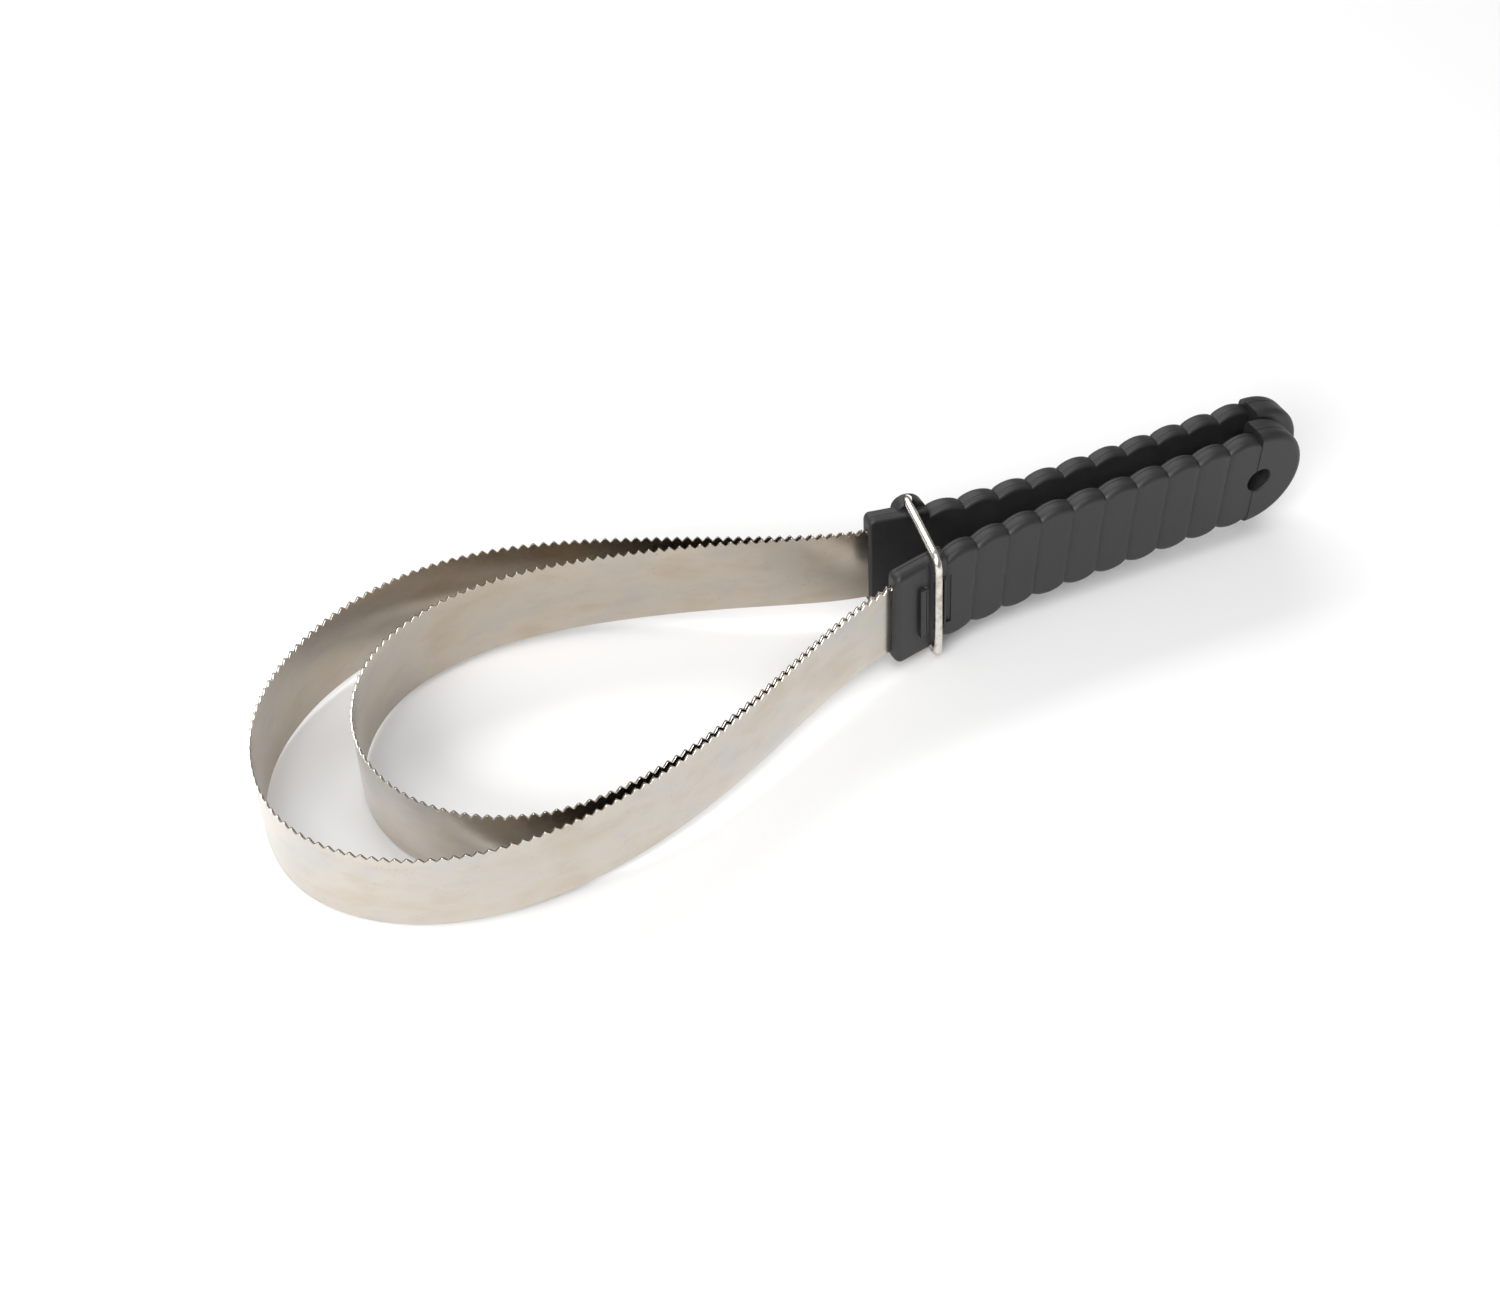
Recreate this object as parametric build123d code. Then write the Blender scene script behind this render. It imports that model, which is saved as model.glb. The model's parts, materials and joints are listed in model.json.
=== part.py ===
from build123d import *
import os
from math import atan2, cos, degrees, hypot, pi, radians, sin, sqrt

# Double shedding blade: two toothed spring-steel loops held between two ribbed
# grips, with a wire ring that locks the grips together near the blades.
#
# Working frame (mm): +X runs along the grips towards the hang holes, +Y to the
# side of the rear grip, and Z = 0 is the smooth lower edge of both bands. The
# last step tips the whole tool so that it stands on the loop's tip and the ring,
# and moves the origin to the bottom centre of its bounding box.

# --- steel bands: 7/8 inch strip, 10 teeth to the inch
BAND_THICKNESS = 0.5
BAND_PLAIN_HEIGHT = 21.7
TOOTH_DEPTH = 1.3
TOOTH_PITCH = 2.54
TOOTH_TIP_WIDTH = 0.5
BAND_HEIGHT = BAND_PLAIN_HEIGHT + TOOTH_DEPTH
BAND_CENTRE_OFFSET = 0.27      # each band's centre from the seam of its grip

# free bands in plan, from the rear grip round to the front grip
OUTER_LOOP = [(-38.0, 14.33), (-52.0, 20.5), (-90.0, 38.2), (-127.8, 46.8), (-160.2, 37.9), (-183.5, 12.1),
              (-184.1, -16.2), (-165.1, -36.9), (-129.9, -43.6), (-70.0, -26.6), (-46.0, -15.68)]
INNER_LOOP = [(-38.0, 13.54), (-51.9, 18.9), (-90.1, 31.3), (-125.0, 34.5), (-149.4, 24.8), (-161.9, 3.1),
              (-157.1, -21.1), (-134.9, -37.7), (-105.1, -37.8), (-65.1, -23.4), (-50.0, -16.51)]

# --- grips: both the same mirrored pair of mouldings, set a little out of step
GRIP_SHIFT = 2.15              # rear grip towards +X, front grip towards -X
GRIP_MID_Z = 11.6
HALF_GAP = 3.4                 # from the tool's axis to a grip's inner face
LINER_THICKNESS = 1.6
GRIP_THICKNESS = 4.6
BEND_START_X = 20.0            # straight from here to the hang end
SEAM_RADIUS = 227.0            # outward bend of the seam towards the blades
BLADE_END_X = -26.2
END_LEAN = 1.6                 # the blade end face leans forward at the top
BLOCK_HALF_HEIGHT = 15.4
BLOCK_LOW_CORNER = 2.6
BLOCK_TOP_CORNER = 1.6
SCALLOP_START_X = -12.0
SCALLOP_PITCH = 9.5
SCALLOP_COUNT = 10
VALLEY_HALF_HEIGHT = 13.1
SCALLOP_RISE = 1.5
BARREL_RISE = 0.35
CAP_RADIUS = 15.0
CAP_CENTRE_X = 83.3            # the hang hole sits a little nearer the end
HANG_HOLE_X = 84.4
HANG_HOLE_RADIUS = 3.5
CAP_PROUD_OUT = 0.5
CAP_PROUD_IN = 3.25
CAP_OUTER_ROUND = 1.5
CAP_INNER_ROUND = 1.5

# --- tail pocket and drive pins
TAIL_END_X = 22.0
POCKET_CLEARANCE = 0.05
PIN_RADIUS = 1.5
PIN_DEPTH = 1.6                # below the band pocket's floor
PIN_HEAD_RADIUS = 3.0
PIN_HEAD_HEIGHT = 0.5
PIN_XS = (-4.0, 13.0)

# --- ring, its channel and the ears that hold it
WIRE_RADIUS = 1.1
RING_STATION_X = -15.0
RING_HALF_HEIGHT = 17.0        # wire centre line
RING_MID_Z = 11.45
RING_CORNER = 3.2
RING_LEAN = 4.0                # degrees, the top leans towards the blades
LEG_CLEARANCE = 0.6
WIRE_CLEARANCE = 0.15
RIB_OFFSET = 2.75
RIB_WIDTH = 0.9
RIB_PROUD = 0.9
RIB_HEIGHT = 17.0
EAR_HALF_WIDTH = 4.0
EAR_REACH = 17.95              # ear top from the ring's mid height
EAR_DEPTH = 3.0
RING_SWING = 8.0               # degrees that the wire's grooves leave room for

FAR = 60.0                     # longer than any extrusion needs
OUT_DIR = "parts"


# ---------- plan curves ----------
def arc_centre():
    """Centre of every bend arc of the rear grip, in the rear grip's own frame."""
    return (BEND_START_X, HALF_GAP + LINER_THICKNESS + SEAM_RADIUS)


def bend_radius(depth):
    """Radius of the bend at this depth, measured outward from the inner face."""
    return SEAM_RADIUS + LINER_THICKNESS - depth


def plan_y(x, depth):
    """Distance from the axis, at x, of the grip line this deep from the inner face."""
    if x >= BEND_START_X:
        return HALF_GAP + depth
    cx, cy = arc_centre()
    return cy - sqrt(bend_radius(depth) ** 2 - (cx - x) ** 2)


def plan_edge(x0, x1, depth):
    """Edges of one plan line of the grip from x0 to x1, x0 being at the blade end."""
    mid = (x0 + BEND_START_X) / 2
    return [
        ThreePointArc((x0, plan_y(x0, depth)), (mid, plan_y(mid, depth)),
                      (BEND_START_X, plan_y(BEND_START_X, depth))),
        Line((BEND_START_X, plan_y(BEND_START_X, depth)), (x1, plan_y(x1, depth))),
    ]


def closed_face(edges):
    """Face inside a closed chain of edges."""
    return make_face(Wire(edges))


def valley_xs():
    """Stations of the scallop valleys, the first at the block, the last at the cap."""
    return [SCALLOP_START_X + SCALLOP_PITCH * i for i in range(SCALLOP_COUNT + 1)]


def shell_plan():
    """Plan of the outer shell without its cap: flat seam, one shallow barrel a scallop."""
    xs = valley_xs()
    start = BLADE_END_X - END_LEAN
    seam = plan_edge(start, xs[-1], LINER_THICKNESS)
    block_mid = (start + xs[0]) / 2
    outer = [ThreePointArc((start, plan_y(start, GRIP_THICKNESS)),
                           (block_mid, plan_y(block_mid, GRIP_THICKNESS)),
                           (xs[0], plan_y(xs[0], GRIP_THICKNESS)))]
    for a, b in zip(xs[:-1], xs[1:]):
        mid = (a + b) / 2
        outer.append(ThreePointArc((a, plan_y(a, GRIP_THICKNESS)),
                                   (mid, plan_y(mid, GRIP_THICKNESS) + BARREL_RISE),
                                   (b, plan_y(b, GRIP_THICKNESS))))
    side = Line(seam[-1] @ 1, outer[-1] @ 1)
    end = Line(outer[0] @ 0, seam[0] @ 0)
    return closed_face(seam + [side] + outer + [end])


def liner_plan():
    """Plan of the liner without its cap."""
    start = BLADE_END_X - END_LEAN
    stop = valley_xs()[-1]
    inner = plan_edge(start, stop, 0)
    seam = plan_edge(start, stop, LINER_THICKNESS)
    return closed_face(inner + seam + [Line(inner[0] @ 0, seam[0] @ 0),
                                       Line(inner[-1] @ 1, seam[-1] @ 1)])


def rise(plan):
    """Tall prism on a plan face."""
    return extrude(Plane.XY.offset(-FAR / 2) * plan, FAR)


# ---------- side outlines, drawn in XZ ----------
def side_prism(x_z_edges):
    """Deep prism along Y on a closed chain of edges drawn as (x, z)."""
    return extrude(Plane.XZ * closed_face(x_z_edges), FAR / 2, both=True)


def bar_outline():
    """Side outline of block and scallops: the blade end leans and its corners are rounded,
    and every scallop is one arc above and one below."""
    top, low = GRIP_MID_Z + BLOCK_HALF_HEIGHT, GRIP_MID_Z - BLOCK_HALF_HEIGHT
    valley_top, valley_low = GRIP_MID_Z + VALLEY_HALF_HEIGHT, GRIP_MID_Z - VALLEY_HALF_HEIGHT
    xs = valley_xs()
    block = FilletPolyline((xs[0], low), (BLADE_END_X, low), (BLADE_END_X - END_LEAN, top),
                           (xs[0], top), radius=[BLOCK_LOW_CORNER, BLOCK_TOP_CORNER])
    edges = list(block.edges())
    edges.append(Line((xs[0], top), (xs[0], valley_top)))
    edges.append(Line((xs[0], low), (xs[0], valley_low)))
    for a, b in zip(xs[:-1], xs[1:]):
        mid = (a + b) / 2
        edges.append(ThreePointArc((a, valley_top), (mid, valley_top + SCALLOP_RISE), (b, valley_top)))
        edges.append(ThreePointArc((a, valley_low), (mid, valley_low - SCALLOP_RISE), (b, valley_low)))
    edges.append(Line((xs[-1], valley_top), (xs[-1], valley_low)))
    return edges


# ---------- grip pieces, built for the rear side ----------
def ribbed_bar(plan):
    """Block and scallops of one grip piece."""
    return rise(plan) & side_prism(bar_outline())


def cap(y0, y1, rim_y, radius):
    """Rounded cap about the hang hole, from y0 to y1, with a rounded rim at rim_y."""
    x0 = valley_xs()[-1]
    top, low = GRIP_MID_Z + CAP_RADIUS, GRIP_MID_Z - CAP_RADIUS
    outline = [Line((CAP_CENTRE_X, low), (x0, low)), Line((x0, low), (x0, top)),
               Line((x0, top), (CAP_CENTRE_X, top)),
               ThreePointArc((CAP_CENTRE_X, top), (CAP_CENTRE_X + CAP_RADIUS, GRIP_MID_Z),
                             (CAP_CENTRE_X, low))]
    solid = side_prism(outline) & Pos(x0 + FAR / 2, (y0 + y1) / 2, GRIP_MID_Z) * Box(FAR, y1 - y0, FAR)
    rim = [e for e in solid.edges() if on_rim(e @ 0.5, rim_y, x0) and on_rim(e @ 0.3, rim_y, x0)]
    return fillet(rim, radius)


def on_rim(point, rim_y, step_x):
    """Whether a point lies on the cap's rim and not on its straight step."""
    return abs(point.Y - rim_y) < 0.01 and point.X > step_x + 0.01


def hang_hole():
    """Cylinder of the hang hole, across both grips."""
    return Pos(HANG_HOLE_X, 0, GRIP_MID_Z) * Rot(90, 0, 0) * Cylinder(HANG_HOLE_RADIUS, FAR)


def tail_reach():
    """Distance from the seam to the outermost face of the two band tails."""
    return BAND_CENTRE_OFFSET + BAND_THICKNESS / 2


def tail_pocket():
    """Room for the two band tails, half in the shell and half in the liner."""
    start = BLADE_END_X - 3 * END_LEAN
    stop = TAIL_END_X + 0.3
    near = plan_edge(start, stop, LINER_THICKNESS - tail_reach() - POCKET_CLEARANCE)
    far = plan_edge(start, stop, LINER_THICKNESS + tail_reach() + POCKET_CLEARANCE)
    plan = closed_face(near + far + [Line(near[0] @ 0, far[0] @ 0), Line(near[-1] @ 1, far[-1] @ 1)])
    low, high = -POCKET_CLEARANCE, BAND_HEIGHT + POCKET_CLEARANCE
    return extrude(Pos(0, 0, low) * plan, high - low)


def pin_frame(x):
    """Plane on the inner band's inner face at x, its normal pointing out through the shell."""
    cx, cy = arc_centre()
    y = plan_y(x, LINER_THICKNESS - tail_reach())
    return Plane(origin=(x, y, BAND_PLAIN_HEIGHT / 2), z_dir=(cx - x, cy - y, 0))


def drive_pin(x, grow=0.0):
    """One headed pin: the head in the liner's back, the shank in the shell."""
    frame = pin_frame(x)
    length = PIN_DEPTH + 2 * tail_reach()
    shank = Pos(0, 0, (length + grow) / 2) * Cylinder(PIN_RADIUS + grow, length + grow)
    head_height = PIN_HEAD_HEIGHT + grow
    head = Pos(0, 0, -head_height / 2) * Cylinder(PIN_HEAD_RADIUS + grow, head_height)
    return frame * (shank + head)


def ring_frame(depth):
    """Frame at the ring's station on the grip line, leaning with the ring."""
    x = RING_STATION_X
    return Pos(x, plan_y(x, depth), RING_MID_Z) * Rot(0, -RING_LEAN, 0)


def channel_ribs():
    """Two upright ribs on the outer face, one each side of the ring's leg."""
    ribs = []
    for side in (-1, 1):
        rib = Box(RIB_WIDTH, 2 * RIB_PROUD, RIB_HEIGHT)
        rib = fillet(rib.edges().filter_by(Axis.Z), 0.3)
        slope = degrees(atan2(RING_STATION_X - BEND_START_X, SEAM_RADIUS))
        ribs.append(ring_frame(GRIP_THICKNESS) * Rot(0, 0, slope) * Pos(side * RIB_OFFSET, 0, 0) * rib)
    return ribs


def ears():
    """Rounded humps above and below the rear grip that hold the ring's rear bends."""
    humps = []
    for side in (-1, 1):
        root = BLOCK_HALF_HEIGHT - 1.2
        profile = [ThreePointArc((-EAR_HALF_WIDTH, root), (0, EAR_REACH), (EAR_HALF_WIDTH, root)),
                   Line((EAR_HALF_WIDTH, root), (-EAR_HALF_WIDTH, root))]
        hump = extrude(Plane.XZ * closed_face(profile), EAR_DEPTH / 2, both=True)
        humps.append(ring_frame(GRIP_THICKNESS) * Pos(0, -EAR_DEPTH / 2 + 0.4, 0)
                     * Rot(0 if side > 0 else 180, 0, 0) * hump)
    return humps


def wire_grooves(with_ears):
    """Room for the ring's wire in a grip's own frame: over the ring's swing in the grip
    with the ears, where the ring pivots, and at rest in the other one."""
    fat_ring = ring_about_leg(WIRE_RADIUS + WIRE_CLEARANCE)
    if with_ears:
        turns = (0, RING_SWING / 2, RING_SWING)
        return [rear_leg_frame() * Rot(0, 0, turn - ring_skew()) * fat_ring for turn in turns]
    at_rest = Pos(2 * GRIP_SHIFT, 0, 0) * rear_leg_frame() * Rot(0, 0, -ring_skew()) * fat_ring
    return [mirror(at_rest, Plane.XZ)]


def shell(with_ears):
    """Outer moulding of a grip, carrying the pocket, ribs, cap and wire grooves."""
    solid = ribbed_bar(shell_plan())
    y0, y1 = HALF_GAP + LINER_THICKNESS, HALF_GAP + GRIP_THICKNESS + CAP_PROUD_OUT
    solid += cap(y0, y1, y1, CAP_OUTER_ROUND)
    for rib in channel_ribs():
        solid += rib
    if with_ears:
        for ear in ears():
            solid += ear
    for groove in wire_grooves(with_ears):
        solid -= groove
    solid -= hang_hole()
    solid -= tail_pocket()
    for x in PIN_XS:
        solid -= drive_pin(x, POCKET_CLEARANCE)
    return solid


def liner():
    """Inner plate of a grip, which closes the pocket over the band tails."""
    solid = ribbed_bar(liner_plan())
    y0, y1 = HALF_GAP - CAP_PROUD_IN, HALF_GAP + LINER_THICKNESS
    solid += cap(y0, y1, y0, CAP_INNER_ROUND)
    solid -= hang_hole()
    solid -= tail_pocket()
    for x in PIN_XS:
        solid -= drive_pin(x, POCKET_CLEARANCE)
    return solid


# ---------- bands ----------
def tangent_arc(start, heading, end):
    """Arc that leaves start in this heading and reaches end: middle, end heading, length."""
    dx, dy = end[0] - start[0], end[1] - start[1]
    chord = hypot(dx, dy)
    half_turn = atan2(cos(heading) * dy - sin(heading) * dx, cos(heading) * dx + sin(heading) * dy)
    radius = chord / (2 * sin(half_turn)) if abs(half_turn) > 1e-6 else 1e9
    quarter = half_turn / 2
    reach = chord / 2 / cos(quarter)
    mid = (start[0] + reach * cos(heading + quarter), start[1] + reach * sin(heading + quarter))
    return mid, heading + 2 * half_turn, abs(2 * half_turn * radius)


def band_stations(points, offset):
    """Arcs of one band from tail to tail: (start, start heading, middle, mid heading,
    end, end heading, length, free), the two tails being the ones that aren't free."""
    exit_depth = LINER_THICKNESS + offset
    rear = (BLADE_END_X + GRIP_SHIFT, plan_y(BLADE_END_X, exit_depth))
    front = (BLADE_END_X - GRIP_SHIFT, -plan_y(BLADE_END_X, exit_depth))
    turn = atan2(BEND_START_X - BLADE_END_X, arc_centre()[1] - rear[1])
    mid_x = (BLADE_END_X + BEND_START_X) / 2
    mid_turn = atan2(BEND_START_X - mid_x, arc_centre()[1] - plan_y(mid_x, exit_depth))
    tail_y = plan_y(BEND_START_X, exit_depth)
    tail_length = bend_radius(exit_depth) * turn

    arcs = [((TAIL_END_X + GRIP_SHIFT, tail_y), pi, (TAIL_END_X - 1 + GRIP_SHIFT, tail_y), pi,
             (BEND_START_X + GRIP_SHIFT, tail_y), pi, TAIL_END_X - BEND_START_X, False),
            ((BEND_START_X + GRIP_SHIFT, tail_y), pi,
             (mid_x + GRIP_SHIFT, plan_y(mid_x, exit_depth)), pi - mid_turn,
             rear, pi - turn, tail_length, False)]
    heading = pi - turn
    start = rear
    for end in points + [front]:
        mid, next_heading, length = tangent_arc(start, heading, end)
        arcs.append((start, heading, mid, (heading + next_heading) / 2, end, next_heading, length, True))
        start, heading = end, next_heading
    arcs.append((front, 2 * pi + turn, (mid_x - GRIP_SHIFT, -plan_y(mid_x, exit_depth)), 2 * pi + mid_turn,
                 (BEND_START_X - GRIP_SHIFT, -tail_y), 2 * pi, tail_length, False))
    arcs.append(((BEND_START_X - GRIP_SHIFT, -tail_y), 2 * pi, (TAIL_END_X - 1 - GRIP_SHIFT, -tail_y),
                 2 * pi, (TAIL_END_X - GRIP_SHIFT, -tail_y), 2 * pi, TAIL_END_X - BEND_START_X, False))
    return arcs


def beside(point, heading, distance):
    """Point this far to the left of the heading."""
    return (point[0] - distance * sin(heading), point[1] + distance * cos(heading))


def band_side(arcs, distance):
    """Edges of one face of the band in plan."""
    edges = []
    for start, h0, mid, hm, end, h1, length, free in arcs:
        a, m, b = beside(start, h0, distance), beside(mid, hm, distance), beside(end, h1, distance)
        if edges:
            a = tuple(edges[-1] @ 1)[:2]
        straight = abs(h1 - h0) < 1e-4
        edges.append(Line(a, b) if straight else ThreePointArc(a, m, b))
    return edges


def band_plan(arcs):
    """Thin plan face of a run of arcs."""
    left = band_side(arcs, BAND_THICKNESS / 2)
    right = band_side(arcs, -BAND_THICKNESS / 2)
    return closed_face(left + right + [Line(left[0] @ 0, right[0] @ 0), Line(left[-1] @ 1, right[-1] @ 1)])


def gullet(point, heading):
    """Wedge cut between two teeth, across the band at this point."""
    half = (TOOTH_PITCH - TOOTH_TIP_WIDTH) / 2
    over = 0.3
    spread = half * (1 + over / TOOTH_DEPTH)
    wedge = Polygon((0, -TOOTH_DEPTH), (spread, over), (-spread, over), align=None)
    solid = extrude(Plane.XZ * wedge, 2, both=True)
    return Pos(point[0], point[1], BAND_HEIGHT) * Rot(0, 0, degrees(heading)) * solid


def gullets(arcs):
    """Evenly pitched wedges along the free part of a band."""
    free = [arc for arc in arcs if arc[7]]
    total = sum(arc[6] for arc in free)
    count = int(total // TOOTH_PITCH)
    first = (total - (count - 1) * TOOTH_PITCH) / 2
    cuts = []
    for k in range(count):
        s = first + k * TOOTH_PITCH
        for start, h0, mid, hm, end, h1, length, is_free in free:
            if s <= length:
                break
            s -= length
        bend = (h1 - h0) / length
        heading = h0 + bend * s
        reach = s if abs(bend) < 1e-7 else 2 / bend * sin(bend * s / 2)
        toward = h0 + bend * s / 2
        point = (start[0] + reach * cos(toward), start[1] + reach * sin(toward))
        cuts.append(gullet(point, heading))
    return cuts


def band(points, offset):
    """One toothed band with a plain tail in each grip."""
    arcs = band_stations(points, offset)
    free = [arc for arc in arcs if arc[7]]
    solid = extrude(band_plan(arcs), BAND_PLAIN_HEIGHT)
    toothed = extrude(band_plan(free), BAND_HEIGHT)
    toothed = toothed - gullets(arcs)
    solid = solid + toothed
    for x in PIN_XS:
        solid -= Pos(GRIP_SHIFT, 0, 0) * drive_pin(x, POCKET_CLEARANCE)
        solid -= Pos(-GRIP_SHIFT, 0, 0) * mirror(drive_pin(x, POCKET_CLEARANCE), Plane.XZ)
    return solid


# ---------- ring ----------
def leg_reach():
    """Distance from the axis to the ring's leg, just outside a grip."""
    return plan_y(RING_STATION_X, GRIP_THICKNESS) + WIRE_RADIUS + LEG_CLEARANCE


def ring_skew():
    """Turn of the ring about its rear leg, in degrees, because the grips are out of step."""
    return degrees(atan2(2 * GRIP_SHIFT, 2 * leg_reach()))


def rear_leg_frame():
    """Frame on the rear leg in the rear grip's own frame, leaning with the ring."""
    return Pos(RING_STATION_X, leg_reach(), RING_MID_Z) * Rot(0, -RING_LEAN, 0)


def ring_about_leg(wire_radius):
    """Closed wire rectangle whose rear leg stands on the origin."""
    span = hypot(2 * leg_reach(), 2 * GRIP_SHIFT)
    h = RING_HALF_HEIGHT
    path = FilletPolyline((0, 0, -h), (0, 0, h), (0, -span, h), (0, -span, -h), radius=RING_CORNER, close=True)
    path = Wire(path.edges())
    return sweep(Plane(origin=path @ 0, z_dir=path % 0) * Circle(wire_radius), path=path)


def lock_ring():
    """The ring round both grips, skewed because the grips are out of step."""
    return Pos(GRIP_SHIFT, 0, 0) * rear_leg_frame() * Rot(0, 0, -ring_skew()) * ring_about_leg(WIRE_RADIUS)


# ---------- assembly ----------
def build():
    """All nodes in the working frame."""
    to_rear, to_front = Pos(GRIP_SHIFT, 0, 0), Pos(-GRIP_SHIFT, 0, 0)
    plain_liner = liner()
    pins = Compound([drive_pin(x) for x in PIN_XS])
    return {
        "outer_blade": band(OUTER_LOOP, BAND_CENTRE_OFFSET),
        "inner_blade": band(INNER_LOOP, -BAND_CENTRE_OFFSET),
        "rear_grip_shell": to_rear * shell(True),
        "rear_grip_liner": to_rear * plain_liner,
        "rear_tail_pins": to_rear * pins,
        "front_grip_shell": to_front * mirror(shell(False), Plane.XZ),
        "front_grip_liner": to_front * mirror(plain_liner, Plane.XZ),
        "front_tail_pins": to_front * mirror(pins, Plane.XZ),
        "lock_ring": lock_ring(),
    }


def main():
    """Stand the tool on its loop tip and ring, and write one file a node."""
    os.makedirs(OUT_DIR, exist_ok=True)
    nodes = build()
    ring_low = nodes["lock_ring"].bounding_box().min.Z
    tip_x = nodes["outer_blade"].bounding_box().min.X
    ring_x = RING_STATION_X + RING_HALF_HEIGHT * sin(radians(RING_LEAN))
    tilt = degrees(atan2(-ring_low, ring_x - tip_x))
    nodes = {name: Rot(0, -tilt, 0) * node for name, node in nodes.items()}
    box = Compound([node for node in nodes.values()]).bounding_box()
    shift = Pos(-(box.min.X + box.max.X) / 2, -(box.min.Y + box.max.Y) / 2, -box.min.Z)
    print("tilt", round(tilt, 3), "size", box.size)
    print("shift", shift.position)
    for name, node in nodes.items():
        export_step(shift * node, f"{OUT_DIR}/{name}.step")


main()
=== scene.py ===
"""Looks of the double shedding blade: two toothed steel loops, two ribbed black grips and a wire ring."""

import json
import math

import bmesh
import bpy
import numpy as np
from mathutils import Euler, Matrix, Vector


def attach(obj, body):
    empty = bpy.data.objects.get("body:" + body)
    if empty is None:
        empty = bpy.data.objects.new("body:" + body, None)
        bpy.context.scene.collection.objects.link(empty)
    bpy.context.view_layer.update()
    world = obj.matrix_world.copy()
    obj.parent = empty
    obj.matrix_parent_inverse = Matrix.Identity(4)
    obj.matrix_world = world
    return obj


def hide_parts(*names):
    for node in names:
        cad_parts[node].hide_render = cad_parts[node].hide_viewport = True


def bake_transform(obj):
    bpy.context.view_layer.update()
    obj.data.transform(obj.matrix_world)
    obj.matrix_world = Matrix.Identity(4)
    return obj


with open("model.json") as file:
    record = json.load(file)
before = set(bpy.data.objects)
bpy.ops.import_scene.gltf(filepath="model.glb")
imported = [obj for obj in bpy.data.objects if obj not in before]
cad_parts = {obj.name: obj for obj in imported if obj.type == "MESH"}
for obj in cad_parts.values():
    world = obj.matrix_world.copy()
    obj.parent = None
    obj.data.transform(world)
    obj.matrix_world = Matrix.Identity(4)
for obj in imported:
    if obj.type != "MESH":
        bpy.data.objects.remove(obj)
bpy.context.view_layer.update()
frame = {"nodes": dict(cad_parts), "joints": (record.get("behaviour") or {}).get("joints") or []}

# All shapes below are drawn in millimetres in the tool's own frame, as the CAD part is: X runs along
# the grips to the hang holes, +Y is the rear grip's side, Z = 0 is the smooth edge of the bands.
MM = 0.001

# --- bands
BAND_THICKNESS = 0.5
BAND_HEIGHT = 23.0
TOOTH_DEPTH = 1.3
TOOTH_PITCH = 2.54
TOOTH_TIP_RADIUS = 0.22
COLUMNS_PER_TOOTH = 12
BAND_CENTRE_OFFSET = 0.27
EDGE_BREAK = 0.06
OUTER_LOOP = [(-38.0, 14.33), (-52.0, 20.5), (-90.0, 38.2), (-127.8, 46.8), (-160.2, 37.9), (-183.5, 12.1),
              (-184.1, -16.2), (-165.1, -36.9), (-129.9, -43.6), (-70.0, -26.6), (-46.0, -15.68)]
INNER_LOOP = [(-38.0, 13.54), (-51.9, 18.9), (-90.1, 31.3), (-125.0, 34.5), (-149.4, 24.8), (-161.9, 3.1),
              (-157.1, -21.1), (-134.9, -37.7), (-105.1, -37.8), (-65.1, -23.4), (-50.0, -16.51)]

# --- grips
GRIP_SHIFT = 2.15
GRIP_MID_Z = 11.6
HALF_GAP = 3.4
LINER_THICKNESS = 1.6
GRIP_THICKNESS = 4.6
BEND_START_X = 20.0
SEAM_RADIUS = 227.0
BLADE_END_X = -26.2
END_LEAN = 1.6
BLOCK_HALF_HEIGHT = 15.4
BLOCK_LOW_CORNER = 2.6
BLOCK_TOP_CORNER = 1.6
BLOCK_END_ROUND = 1.6
BLOCK_SHOULDER = 1.5
BLOCK_STEP_LENGTH = 0.7
LINER_END_ROUND = 0.5
SCALLOP_START_X = -12.0
SCALLOP_PITCH = 9.5
SCALLOP_COUNT = 10
VALLEY_HALF_HEIGHT = 13.1
SCALLOP_RISE = 1.5
BARREL_RISE = 0.35
BARREL_FLATNESS = 8
SHOULDER = 1.7
LINER_SHOULDER = 1.15
SEAM_BREAK = 0.18
SEAM_OVERLAP = 0.01
CAP_RADIUS = 15.0
CAP_CENTRE_X = 83.3
CAP_STEP_ROUND = 0.15
HANG_HOLE_X = 84.4
HANG_HOLE_RADIUS = 3.5
HOLE_FLARE_OUT = 0.45
HOLE_FLARE_IN = 0.3
CAP_PROUD_OUT = 0.5
CAP_PROUD_IN = 3.25
CAP_OUTER_ROUND = 2.2
CAP_INNER_ROUND = 1.8
TAIL_END_X = 22.0
POCKET_CLEARANCE = 0.05

# --- ring, ribs and ears
WIRE_RADIUS = 1.1
RING_STATION_X = -15.0
RING_HALF_HEIGHT = 17.0
RING_MID_Z = 11.45
RING_CORNER = 3.2
RING_LEAN = 4.0
RING_SWING = 8.0
LEG_CLEARANCE = 0.6
WIRE_CLEARANCE = 0.12
SWUNG_CLEARANCE = 1.7 * WIRE_CLEARANCE
RIB_OFFSET = 2.75
RIB_WIDTH = 0.9
RIB_PROUD = 0.9
RIB_HEIGHT = 17.0
RIB_ROOT_FLARE = 0.15
RIB_END_LENGTH = 1.2
RIB_BURIED = 1.5
RIB_EDGE_RUN = 0.2
RIB_EDGE_FALL = 0.25
EAR_HALF_WIDTH = 4.0
EAR_REACH = 17.9
EAR_NEAR = 1.85
EAR_FAR = 5.45
EAR_ROUND = 0.6
EAR_ROOT_SINK = 1.2
EAR_BURIED = 1.5
CHANNEL_HALF_WIDTH = 1.9
CHANNEL_DEPTH = 0.75
CHANNEL_BREAK = 0.3
RECESS_WIDTH = 1.6
RECESS_DEPTH = 0.6

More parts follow.
